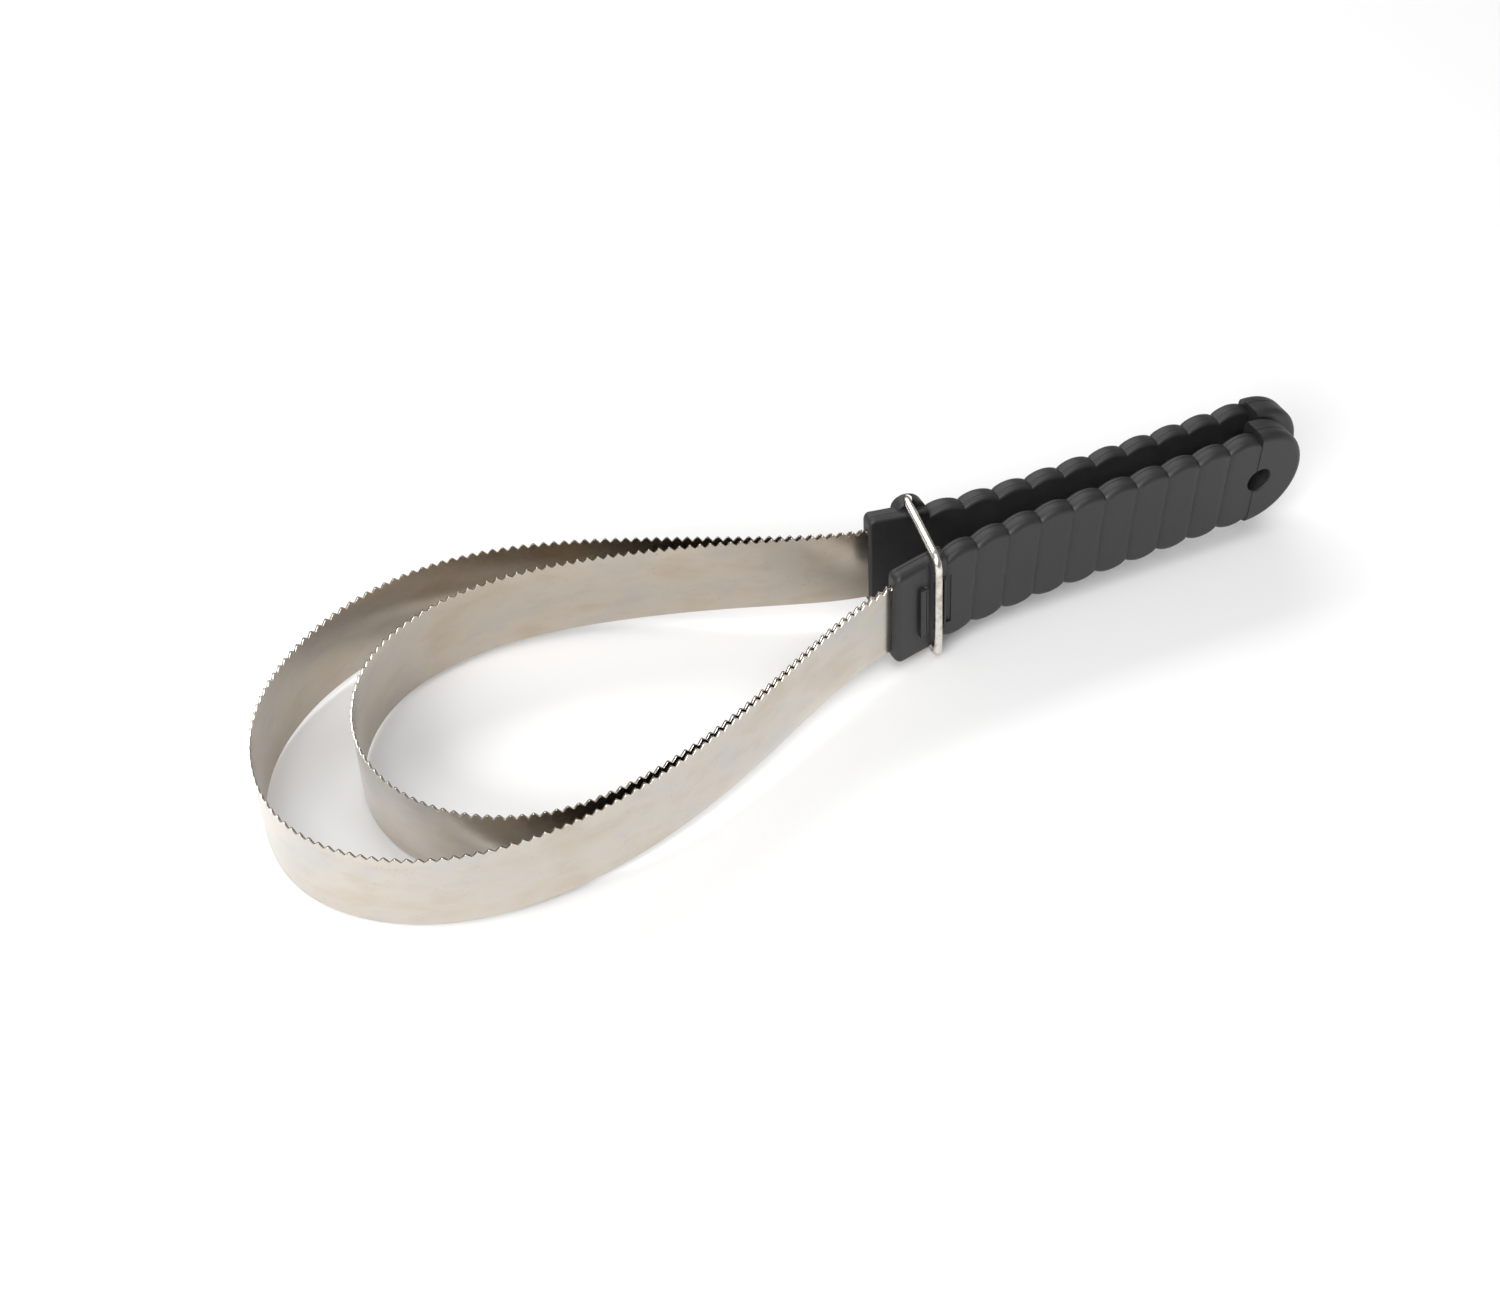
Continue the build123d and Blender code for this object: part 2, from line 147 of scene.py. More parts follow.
# --- creases kept in the shading, in degrees
BAND_CREASE = 40
GRIP_CREASE = 38
RING_CREASE = 60

# --- camera, in the tool's frame: place in millimetres, turn in degrees, lens and sensor in millimetres
CAMERA_PLACE = (-227.22, -329.59, 385.54)
CAMERA_TURN = (44.31, 0.0, -26.5)
CAMERA_LENS = 51.62
SENSOR_WIDTH = 36


# ---------- the tool's frame, from the CAD's squeeze joint, at SQUEEZE_X and GRIP_MID_Z ----------
squeeze = next(j for j in frame["joints"] if j["name"] == "grip_squeeze")
UP = -np.array(squeeze["axis"])
ALONG = np.array([UP[2], 0.0, -UP[0]])
SQUEEZE_X = 85.3
ORIGIN = np.array(squeeze["pos_m"]) - MM * (SQUEEZE_X * ALONG + GRIP_MID_Z * UP)


def to_row(points):
    """Tool-frame millimetres to row-frame metres."""
    points = np.asarray(points, float)
    across = np.array([0.0, 1.0, 0.0])
    return ORIGIN + MM * (points[:, :1] * ALONG + points[:, 1:2] * across + points[:, 2:3] * UP)


# ---------- mesh helpers ----------
def make_object(name, points, faces):
    """Mesh object from tool-frame points."""
    mesh = bpy.data.meshes.new(name)
    mesh.from_pydata([tuple(p) for p in to_row(points)], [], faces)
    mesh.update()
    obj = bpy.data.objects.new(name, mesh)
    bpy.context.scene.collection.objects.link(obj)
    return obj


def loft(rings, closed=False):
    """Faces and points of a skin over rings of points, all rings with the same count."""
    count = len(rings[0])
    points = np.concatenate(rings)
    faces = []
    spans = len(rings) if closed else len(rings) - 1
    for i in range(spans):
        a, b = i * count, (i + 1) % len(rings) * count
        for k in range(count):
            n = (k + 1) % count
            faces.append((a + k, a + n, b + n, b + k))
    if not closed:
        faces.append(tuple(reversed(range(count))))
        faces.append(tuple(range(len(points) - count, len(points))))
    return points, faces


def join_skins(skins):
    """One list of points and one of faces from several."""
    points, faces, offset = [], [], 0
    for skin_points, skin_faces in skins:
        points.append(skin_points)
        faces += [tuple(v + offset for v in face) for face in skin_faces]
        offset += len(skin_points)
    return np.concatenate(points), faces


def face_outward(obj):
    """Makes every face of the mesh's closed skins point outward."""
    bm = bmesh.new()
    bm.from_mesh(obj.data)
    bmesh.ops.recalc_face_normals(bm, faces=bm.faces)
    bm.to_mesh(obj.data)
    bm.free()


def carve(obj, operation, tool):
    """Adds or cuts the tool's solids, and removes the tool."""
    modifier = obj.modifiers.new("carve", "BOOLEAN")
    modifier.operation = operation
    modifier.solver = "EXACT"
    modifier.object = tool
    graph = bpy.context.evaluated_depsgraph_get()
    mesh = bpy.data.meshes.new_from_object(obj.evaluated_get(graph))
    obj.modifiers.clear()
    obj.data = mesh
    bpy.data.objects.remove(tool)


def finish_shading(obj, angle):
    """Smooth shading with creases sharper than angle, in degrees."""
    obj.data.shade_smooth()
    obj.data.set_sharp_from_angle(angle=math.radians(angle))


# ---------- grip lines ----------
def plan_y(x, depth):
    """Distance from the tool's axis of the grip line this deep from the inner face."""
    if x >= BEND_START_X:
        return HALF_GAP + depth
    centre_y = HALF_GAP + LINER_THICKNESS + SEAM_RADIUS
    radius = SEAM_RADIUS + LINER_THICKNESS - depth
    return centre_y - math.sqrt(radius ** 2 - (BEND_START_X - x) ** 2)


def bend(points, side):
    """Straight-grip points (x, depth, z) to the bent grip on this side, 1 rear and -1 front."""
    return np.array([(x + side * GRIP_SHIFT, side * plan_y(x, depth), z) for x, depth, z in points])


def corner(centre, radius, start, steps=7):
    """Quarter circle in (depth, z), from this angle in degrees on."""
    angles = np.radians(np.linspace(start, start + 90, steps))
    return [(centre[0] + radius * math.cos(a), centre[1] + radius * math.sin(a)) for a in angles]


def rounded_box(inner, outer, low, top, inner_round, outer_round):
    """Outline in (depth, z) with rounded corners and divided sides."""
    outline = []
    corners = [
        corner((outer - outer_round, low + outer_round), outer_round, -90),
        corner((outer - outer_round, top - outer_round), outer_round, 0),
        corner((inner + inner_round, top - inner_round), inner_round, 90),
        corner((inner + inner_round, low + inner_round), inner_round, 180),
    ]
    for i, arc in enumerate(corners):
        follow = corners[(i + 1) % 4][0]
        outline += arc
        outline += [tuple(np.array(arc[-1]) + (np.array(follow) - arc[-1]) * t) for t in (0.25, 0.5, 0.75)]
    return outline


def sunk(distance, radius):
    """How far a rounded edge lies back at this distance from the end."""
    if distance >= radius:
        return 0.0
    return radius - math.sqrt(radius ** 2 - (radius - distance) ** 2)


def eased(count):
    """Values from 0 to 1, closer together near both ends."""
    return [(1 - math.cos(math.pi * i / count)) / 2 for i in range(count + 1)]


def block_stations():
    """Distances from the blade end, closer together on its rounded edges."""
    length = SCALLOP_START_X - BLADE_END_X
    near = [BLOCK_LOW_CORNER * (1 - math.cos(math.pi / 2 * i / 12)) for i in range(12)]
    flat = length - BLOCK_STEP_LENGTH
    far = list(np.linspace(BLOCK_LOW_CORNER, flat, 14))
    step = [flat + BLOCK_STEP_LENGTH * t for t in (0.25, 0.5, 0.75, 1.0)]
    return near + far + step


def bar_rings(inner, outer, inner_round, outer_round, barrel):
    """Rings of one moulding from the blade end to inside the cap, straight, in (x, depth, z).
    barrel is the swell of each scallop's face, and 0 stands for a liner."""
    rings = []
    length = SCALLOP_START_X - BLADE_END_X
    step = BLOCK_HALF_HEIGHT - VALLEY_HALF_HEIGHT
    for t in block_stations():
        x = BLADE_END_X + t
        drop = step * max(0.0, (t - (length - BLOCK_STEP_LENGTH)) / BLOCK_STEP_LENGTH) ** 2
        top = GRIP_MID_Z + BLOCK_HALF_HEIGHT - sunk(t, BLOCK_TOP_CORNER) - drop
        low = GRIP_MID_Z - BLOCK_HALF_HEIGHT + sunk(t, BLOCK_LOW_CORNER) + drop
        face = outer - sunk(t, BLOCK_END_ROUND) if barrel else outer
        back = inner if barrel else inner + sunk(t, LINER_END_ROUND)
        lean = END_LEAN * (1 - t / length)
        shoulder = min(BLOCK_SHOULDER, 0.75 * (face - back)) if barrel else outer_round
        outline = rounded_box(back, face, low, top, min(inner_round, face - back - shoulder - 0.1), shoulder)
        rings.append([(x - lean * (z - GRIP_MID_Z + BLOCK_HALF_HEIGHT) / (2 * BLOCK_HALF_HEIGHT), d, z)
                      for d, z in outline])
    for i in range(SCALLOP_COUNT):
        for u in eased(20)[1:] if i == 0 else eased(20):
            hump = 4 * u * (1 - u)
            half = VALLEY_HALF_HEIGHT + SCALLOP_RISE * hump
            flush = i == SCALLOP_COUNT - 1 and u > 0.5
            swell = barrel if flush else barrel * (1 - abs(2 * u - 1) ** BARREL_FLATNESS)
            outline = rounded_box(inner, outer + swell, GRIP_MID_Z - half, GRIP_MID_Z + half,
                                  inner_round, outer_round)
            x = SCALLOP_START_X + SCALLOP_PITCH * (i + u)
            if u == 1 and i < SCALLOP_COUNT - 1:
                continue
            rings.append([(x, d, z) for d, z in outline])
    end = rings[-1]
    rings.append([(x + 1.0, d, z) for x, d, z in end])
    return [np.array(ring) for ring in rings]


def cap_outline(inset):
    """Outline in (x, z) of the cap, drawn in by inset: a straight step side and a half circle."""
    step_x = SCALLOP_START_X + SCALLOP_PITCH * SCALLOP_COUNT + min(inset, CAP_STEP_ROUND)
    radius = CAP_RADIUS - inset
    outline = [(step_x, GRIP_MID_Z + radius * t) for t in np.linspace(1, -1, 9)]
    outline += [(CAP_CENTRE_X + radius * math.cos(a), GRIP_MID_Z + radius * math.sin(a))
                for a in np.linspace(-math.pi / 2, math.pi / 2, 49)]
    return outline


def cap_rings(seam, face, rim_round):
    """Rings of the cap from its seam side to its rounded face side, in (x, depth, z)."""
    way = 1 if face > seam else -1
    levels = [(seam, SEAM_BREAK), (seam + way * SEAM_BREAK, 0.0)]
    for angle in np.radians(np.linspace(0, 90, 9)):
        levels.append((face - way * rim_round * (1 - math.sin(angle)), rim_round * (1 - math.cos(angle))))
    return [np.array([(x, depth, z) for x, z in cap_outline(inset)]) for depth, inset in levels]


def hole_rings(near, far, flare):
    """Rings of the hang hole's cutter, flared where it meets the face at depth far."""
    way = 1 if far > near else -1
    levels = [(near - way * 3, HANG_HOLE_RADIUS), (near, HANG_HOLE_RADIUS)]
    for angle in np.radians(np.linspace(0, 90, 7)):
        levels.append((far - way * flare * (1 - math.sin(angle)),
                       HANG_HOLE_RADIUS + flare * (1 - math.cos(angle))))
    levels.append((far + way * 2, HANG_HOLE_RADIUS + flare))
    turn = np.linspace(0, 2 * math.pi, 40, endpoint=False)
    return [np.array([(HANG_HOLE_X + r * math.cos(a), depth, GRIP_MID_Z + r * math.sin(a)) for a in turn])
            for depth, r in levels]


def slot_rings():
    """Rings of the cutter that opens the band tails' slot in the blade end."""
    reach = BAND_CENTRE_OFFSET + BAND_THICKNESS / 2 + POCKET_CLEARANCE
    low, top = -POCKET_CLEARANCE, BAND_HEIGHT + POCKET_CLEARANCE
    rings = []
    for x in np.arange(BLADE_END_X - 3 * END_LEAN, TAIL_END_X, 2.0):
        rings.append(np.array([(x, LINER_THICKNESS - reach, low), (x, LINER_THICKNESS + reach, low),
                               (x, LINER_THICKNESS + reach, top), (x, LINER_THICKNESS - reach, top)]))
    return rings


def rib_rings(side):
    """Rings of one upright rib beside the ring's leg."""
    rings = []
    half = RIB_HEIGHT / 2
    for t in [0, 0.05, 0.15, 0.3, 0.5, 0.75, 1.0]:
        rings.append((-half + RIB_END_LENGTH * t, sunk(t, 1.0)))
    rings += [(-z, s) for z, s in reversed(rings)]
    skin = []
    for z, sink in rings:
        proud = GRIP_THICKNESS + RIB_PROUD * (1 - sink)
        x = leaning_x(z) + side * RIB_OFFSET
        left, right = x - RIB_WIDTH / 2, x + RIB_WIDTH / 2
        buried = GRIP_THICKNESS - RIB_BURIED
        outline = [(left - RIB_ROOT_FLARE, buried), (left - RIB_ROOT_FLARE, GRIP_THICKNESS),
                   (left, proud - RIB_EDGE_FALL), (left + RIB_EDGE_RUN, proud),
                   (right - RIB_EDGE_RUN, proud), (right, proud - RIB_EDGE_FALL),
                   (right + RIB_ROOT_FLARE, GRIP_THICKNESS), (right + RIB_ROOT_FLARE, buried)]
        skin.append(np.array([(px, d, RING_MID_Z + z) for px, d in outline]))
    return skin


def leaning_x(z):
    """Where the ring's leg stands at this height from the ring's middle."""
    return RING_STATION_X - math.tan(math.radians(RING_LEAN)) * z


def channel_rings():
    """Rings of the cutter for the shallow channel that the ring's leg stands over."""
    rings = []
    floor, rim = GRIP_THICKNESS - CHANNEL_DEPTH, GRIP_THICKNESS + 3
    for z in np.linspace(-BLOCK_HALF_HEIGHT - 2, BLOCK_HALF_HEIGHT + 2, 9):
        x = leaning_x(z)
        outline = [(-CHANNEL_HALF_WIDTH + CHANNEL_BREAK, floor), (CHANNEL_HALF_WIDTH - CHANNEL_BREAK, floor),
                   (CHANNEL_HALF_WIDTH, floor + CHANNEL_BREAK), (CHANNEL_HALF_WIDTH, rim),
                   (-CHANNEL_HALF_WIDTH, rim), (-CHANNEL_HALF_WIDTH, floor + CHANNEL_BREAK)]
        rings.append(np.array([(x + dx, depth, RING_MID_Z + z) for dx, depth in outline]))
    return rings


def recess_rings(side):
    """Rings of the cutter for the hollow that falls towards the outside of one rib."""
    wall = RIB_OFFSET + RIB_WIDTH / 2 + 0.1
    rings = []
    for z in np.linspace(-RIB_HEIGHT / 2 + 0.2, RIB_HEIGHT / 2 - 0.2, 5):
        x = leaning_x(z)
        outline = [(wall + RECESS_WIDTH, GRIP_THICKNESS + 0.02), (wall + RECESS_WIDTH, GRIP_THICKNESS + 1.0),
                   (wall, GRIP_THICKNESS + 1.0), (wall, GRIP_THICKNESS - RECESS_DEPTH)]
        rings.append(np.array([(x + side * dx, depth, RING_MID_Z + z) for dx, depth in outline]))
    return rings


def ear_rings(side):
    """Rings of one rounded hump, 1 above and -1 below, that holds the ring's bend."""
    root = BLOCK_HALF_HEIGHT - EAR_ROOT_SINK
    rise = EAR_REACH - root
    radius = (EAR_HALF_WIDTH ** 2 + rise ** 2) / (2 * rise)
    levels = [(EAR_NEAR + EAR_ROUND * t, EAR_ROUND * sunk(t, 1.0)) for t in (0, 0.1, 0.25, 0.45, 0.7, 1.0)]
    levels += [(EAR_NEAR + EAR_FAR - depth, inset) for depth, inset in reversed(levels)]
    rings = []
    for depth, inset in levels:
        reach = math.asin(EAR_HALF_WIDTH / radius)
        ring = [((radius - inset) * math.sin(a), EAR_REACH - radius + (radius - inset) * math.cos(a))
                for a in np.linspace(reach, -reach, 21)]
        ring += [(ring[-1][0], root - EAR_BURIED), (ring[0][0], root - EAR_BURIED)]
        rings.append(np.array([(leaning_x(side * z) + x, depth, RING_MID_Z + side * z) for x, z in ring]))
    return rings


def make_shell(name, side):
    """Outer moulding of one grip: bar, cap, ribs with their recesses, the leg channel and the wire's
    groove, and on the rear side the ears and a groove for the swung ring."""
    rings = bar_rings(LINER_THICKNESS, GRIP_THICKNESS, SEAM_BREAK, SHOULDER, BARREL_RISE)
    face = GRIP_THICKNESS + CAP_PROUD_OUT
    added = [loft(cap_rings(LINER_THICKNESS + SEAM_OVERLAP, face, CAP_OUTER_ROUND))]
    added += [loft(rib_rings(way)) for way in (-1, 1)]
    if side > 0:
        added += [loft(ear_rings(way)) for way in (-1, 1)]
    hole = loft(hole_rings(LINER_THICKNESS, face, HOLE_FLARE_OUT))
    cuts = [hole, loft(slot_rings()), loft(channel_rings())]
    cuts += [loft(recess_rings(way)) for way in (-1, 1)]
    obj = build_moulding(name, side, loft(rings), added, cuts)
    carve(obj, "DIFFERENCE", ring_object("groove", WIRE_RADIUS + WIRE_CLEARANCE, 0.0))
    if side > 0:
        carve(obj, "DIFFERENCE", ring_object("swung_groove", WIRE_RADIUS + SWUNG_CLEARANCE, RING_SWING))
    return obj


def make_liner(name, side):
    """Inner plate of one grip: bar and cap."""
    rings = bar_rings(0.0, LINER_THICKNESS, LINER_SHOULDER, SEAM_BREAK, 0.0)
    added = [loft(cap_rings(LINER_THICKNESS - SEAM_OVERLAP, -CAP_PROUD_IN, CAP_INNER_ROUND))]
    hole = loft(hole_rings(LINER_THICKNESS, -CAP_PROUD_IN, HOLE_FLARE_IN))
    cuts = [hole, loft(slot_rings())]
    return build_moulding(name, side, loft(rings), added, cuts)


def build_moulding(name, side, bar, added, cuts):
    """Bends the skins, joins what is added and carves what is cut."""
    objects = []
    for label, skins in ((name, [bar]), ("added", added), ("cuts", cuts)):
        points, faces = join_skins(skins)
        objects.append(make_object(label, bend(points, side), faces))
        face_outward(objects[-1])
    carve(objects[0], "UNION", objects[1])
    carve(objects[0], "DIFFERENCE", objects[2])
    return objects[0]


# ---------- ring ----------
def leg_reach():
    """Distance from the axis to the ring's leg, just outside a grip."""
    return plan_y(RING_STATION_X, GRIP_THICKNESS) + WIRE_RADIUS + LEG_CLEARANCE


def ring_path():
    """Centre line of the wire and its outward directions, the rear leg on the origin, in (y, z)."""
    span = math.hypot(2 * leg_reach(), 2 * GRIP_SHIFT)
    r, h = RING_CORNER, RING_HALF_HEIGHT
    centres = [(-r, h - r, 0), (-span + r, h - r, 90), (-span + r, r - h, 180), (-r, r - h, 270)]
    line = []
    for i, (cy, cz, start) in enumerate(centres):
        for a in np.radians(np.linspace(start, start + 90, 15)):
            line.append((cy + r * math.cos(a), cz + r * math.sin(a), math.cos(a), math.sin(a)))
        ny, nz, next_start = centres[(i + 1) % 4]
        a = math.radians(next_start)
        begin, end = line[-1], (ny + r * math.cos(a), nz + r * math.sin(a))
        for t in np.linspace(0, 1, 26)[1:-1]:
            line.append((begin[0] + (end[0] - begin[0]) * t, begin[1] + (end[1] - begin[1]) * t,
                         begin[2], begin[3]))
    return line


def ring_object(name, wire_radius, turn):
    """Wire rectangle about the grips, turned this many degrees about its rear leg."""
    skew = math.degrees(math.atan2(2 * GRIP_SHIFT, 2 * leg_reach()))
    place = (Matrix.Translation((RING_STATION_X + GRIP_SHIFT, leg_reach(), RING_MID_Z))
             @ Matrix.Rotation(math.radians(-RING_LEAN), 4, "Y")
             @ Matrix.Rotation(math.radians(turn - skew), 4, "Z"))
    around = np.linspace(0, 2 * math.pi, 24, endpoint=False)
    rings = []
    for y, z, out_y, out_z in ring_path():
        ring = [place @ Vector((wire_radius * math.sin(a), y + wire_radius * math.cos(a) * out_y,
                                z + wire_radius * math.cos(a) * out_z)) for a in around]
        rings.append(np.array([tuple(p) for p in ring]))
    points, faces = loft(rings, closed=True)
    obj = make_object(name, points, faces)
    face_outward(obj)
    return obj


# ---------- bands ----------
def cubic_through(points, start_slope, end_slope):
    """Smooth line, as a list of close points, through plan points with these end slopes."""
    p = np.array(points, float)
    s = np.concatenate([[0], np.cumsum(np.hypot(*np.diff(p, axis=0).T))])
    n = len(p)
    h = np.diff(s)
    matrix = np.zeros((n, n))
    right = np.zeros((n, 2))
    matrix[0, 0] = matrix[-1, -1] = 1
    right[0], right[-1] = start_slope, end_slope
    for i in range(1, n - 1):
        matrix[i, i - 1] = 1 / h[i - 1]
        matrix[i, i] = 2 / h[i - 1] + 2 / h[i]
        matrix[i, i + 1] = 1 / h[i]
        right[i] = 3 * ((p[i] - p[i - 1]) / h[i - 1] ** 2 + (p[i + 1] - p[i]) / h[i] ** 2)
    slopes = np.linalg.solve(matrix, right)
    line = []
    for i in range(n - 1):
        for t in np.linspace(0, 1, 40, endpoint=False):
            line.append((2 * t ** 3 - 3 * t ** 2 + 1) * p[i] + (t ** 3 - 2 * t ** 2 + t) * h[i] * slopes[i]
                        + (3 * t ** 2 - 2 * t ** 3) * p[i + 1] + (t ** 3 - t ** 2) * h[i] * slopes[i + 1])
    line.append(p[-1])
    return np.array(line)


def band_line(loop, offset):
    """Centre line of one band in plan, and the lengths at which its free part starts and ends."""
    depth = LINER_THICKNESS + offset
    xs = np.linspace(TAIL_END_X, BLADE_END_X, 60)
    rear = np.array([(x + GRIP_SHIFT, plan_y(x, depth)) for x in xs])
    front = np.array([(x - GRIP_SHIFT, -plan_y(x, depth)) for x in xs])[::-1]
    leave, enter = rear[-1] - rear[-2], front[1] - front[0]
    free = cubic_through([rear[-1], *loop, front[0]], leave / np.hypot(*leave), enter / np.hypot(*enter))
    line = np.concatenate([rear[:-1], free, front[1:]])
    lengths = np.concatenate([[0], np.cumsum(np.hypot(*np.diff(line, axis=0).T))])
    return line, lengths, lengths[len(rear) - 1], lengths[len(rear) + len(free) - 2]


def tooth_top(along, length):
    """Height of the toothed edge at this distance into the free part: round tips, sharp gullets."""
    count = int(length // TOOTH_PITCH)
    phase = (along - length / 2) / TOOTH_PITCH + (0.5 if count % 2 else 0.0)
    from_tip = abs(phase - round(phase)) * TOOTH_PITCH
    half = TOOTH_PITCH / 2
    fall = math.hypot(from_tip, TOOTH_TIP_RADIUS) - TOOTH_TIP_RADIUS
    return BAND_HEIGHT - TOOTH_DEPTH * fall / (math.hypot(half, TOOTH_TIP_RADIUS) - TOOTH_TIP_RADIUS)


def band_columns(loop, offset):
    """Columns of one band, (x, y, normal x, normal y, top height, length so far)."""
    line, lengths, start, end = band_line(loop, offset)
    step = TOOTH_PITCH / COLUMNS_PER_TOOTH
    middle = (start + end) / 2
    below = int((middle - start) / step)
    above = int((end - middle) / step)
    stops = [0.0, start * 0.5] + list(np.linspace(start * 0.5, start, 30)[1:])
    free = middle + step * np.arange(-below, above + 1)
    tail = lengths[-1] - end
    stations = stops + list(free) + list(np.linspace(end, end + tail * 0.5, 30)) + [lengths[-1]]
    columns = []
    for s in stations:
        x, y = (np.interp(s, lengths, line[:, k]) for k in (0, 1))
        a, b = max(s - 1.0, 0), min(s + 1.0, lengths[-1])
        dx, dy = (np.interp(b, lengths, line[:, k]) - np.interp(a, lengths, line[:, k]) for k in (0, 1))
        size = math.hypot(dx, dy)
        top = tooth_top(s - start, end - start) if start < s < end else BAND_HEIGHT - TOOTH_DEPTH
        columns.append((x, y, dy / size, -dx / size, top, s))
    return columns


def band_piece(name, columns):
    """Closed skin over a run of columns, each point keeping its length, height and depth for the steel."""
    half, e = BAND_THICKNESS / 2, EDGE_BREAK
    support = BAND_HEIGHT - TOOTH_DEPTH - 0.5
    rings, marks = [], []
    for x, y, nx, ny, top, s in columns:
        outline = [(-half + e, 0), (half - e, 0), (half, e), (half, support), (half, top - e),
                   (half - e, top), (-half + e, top), (-half, top - e), (-half, support), (-half, e)]
        rings.append(np.array([(x + nx * o, y + ny * o, z) for o, z in outline]))
        marks += [(s * MM, z * MM, o * MM) for o, z in outline]
    points, faces = loft(rings)
    obj = make_object(name, points, faces)
    grain = obj.data.attributes.new("band_place", "FLOAT_VECTOR", "POINT")
    grain.data.foreach_set("vector", np.array(marks, np.float32).ravel())
    face_outward(obj)
    finish_shading(obj, BAND_CREASE)
    return obj


def make_band(name, node, loop, offset, material):
    """One band in three pieces. The rear half follows the rear grip, the front half the front one,
    and the tip between the loop's two widest places runs from one to the other and follows neither grip."""
    columns = band_columns(loop, offset)
    ys = [c[1] for c in columns]
    widest_rear, widest_front = int(np.argmax(ys)), int(np.argmin(ys))
    spans = {"rear": (0, widest_rear), "tip": (widest_rear, widest_front),
             "front": (widest_front, len(ys) - 1)}
    for part, (first, last) in spans.items():
        piece = band_piece(f"{name}_{part}", columns[first:last + 1])
        piece.data.materials.append(material)
        if part == "tip":
            start, end = (to_row([(*columns[k][:2], 0)])[0] for k in (first, last))
            end = (start[0], end[1], start[2])
            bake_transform(piece)
        else:
            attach(piece, f"{part}_grip")
        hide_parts(node)


# ---------- materials ----------
TAN = (0.59, 0.525, 0.445)
CREAM = (0.635, 0.59, 0.53)
BLUE_GREY = (0.58, 0.56, 0.54)


def new_material(name):
    """Material with an empty tree but for its shader and output."""
    material = bpy.data.materials.new(name)
    material.use_nodes = True
    tree = material.node_tree
    return material, tree, tree.nodes["Principled BSDF"]


def noise(tree, vector, scale, detail=4.0, roughness=0.55):
    """Noise node's value output."""
    node = tree.nodes.new("ShaderNodeTexNoise")
    node.inputs["Scale"].default_value = scale
    node.inputs["Detail"].default_value = detail
    node.inputs["Roughness"].default_value = roughness
    tree.links.new(vector, node.inputs["Vector"])
    return node.outputs["Fac"]


def scaled(tree, vector, scale):
    """Vector multiplied by a fixed scale per axis."""
    node = tree.nodes.new("ShaderNodeVectorMath")
    node.operation = "MULTIPLY"
    node.inputs[1].default_value = scale
    tree.links.new(vector, node.inputs[0])
    return node.outputs["Vector"]


def ramp(tree, value, stops):
    """Colour ramp over (position, colour) stops."""
    node = tree.nodes.new("ShaderNodeValToRGB")
    elements = node.color_ramp.elements
    while len(elements) < len(stops):
        elements.new(0.5)
    for element, (position, colour) in zip(elements, stops):
        element.position = position
        element.color = (*colour, 1) if len(colour) == 3 else colour
    tree.links.new(value, node.inputs["Fac"])
    return node.outputs["Color"]


def grey(level):
    """One grey as a colour."""
    return (level, level, level)


def mixed(tree, factor, first, second, kind="MIX"):
    """Colour mix; each input is a socket or a fixed colour, and factor a socket or a number."""
    node = tree.nodes.new("ShaderNodeMix")
    node.data_type = "RGBA"
    node.blend_type = kind
    for socket, value in ((node.inputs[0], factor), (node.inputs[6], first), (node.inputs[7], second)):
        if isinstance(value, bpy.types.NodeSocket):
            tree.links.new(value, socket)
        elif isinstance(value, tuple):
            socket.default_value = (*value, 1)
        else:
            socket.default_value = value
    return node.outputs[2]


def spread(tree, value, low, high):
    """Value from 0..1 mapped to low..high."""
    node = tree.nodes.new("ShaderNodeMapRange")
    node.inputs["To Min"].default_value = low
    node.inputs["To Max"].default_value = high
    tree.links.new(value, node.inputs["Value"])
    return node.outputs["Result"]


def bumped(tree, shader, height, strength, distance):
    """Bump from a height value."""
    node = tree.nodes.new("ShaderNodeBump")
    node.inputs["Strength"].default_value = strength
    node.inputs["Distance"].default_value = distance
    tree.links.new(height, node.inputs["Height"])
    tree.links.new(node.outputs["Normal"], shader.inputs["Normal"])


def place_attribute(tree, name):
    """Vector output of a mesh attribute."""
    node = tree.nodes.new("ShaderNodeAttribute")
    node.attribute_name = name
    return node.outputs["Vector"]


def object_place(tree):
    """Object coordinates."""
    return tree.nodes.new("ShaderNodeTexCoord").outputs["Object"]


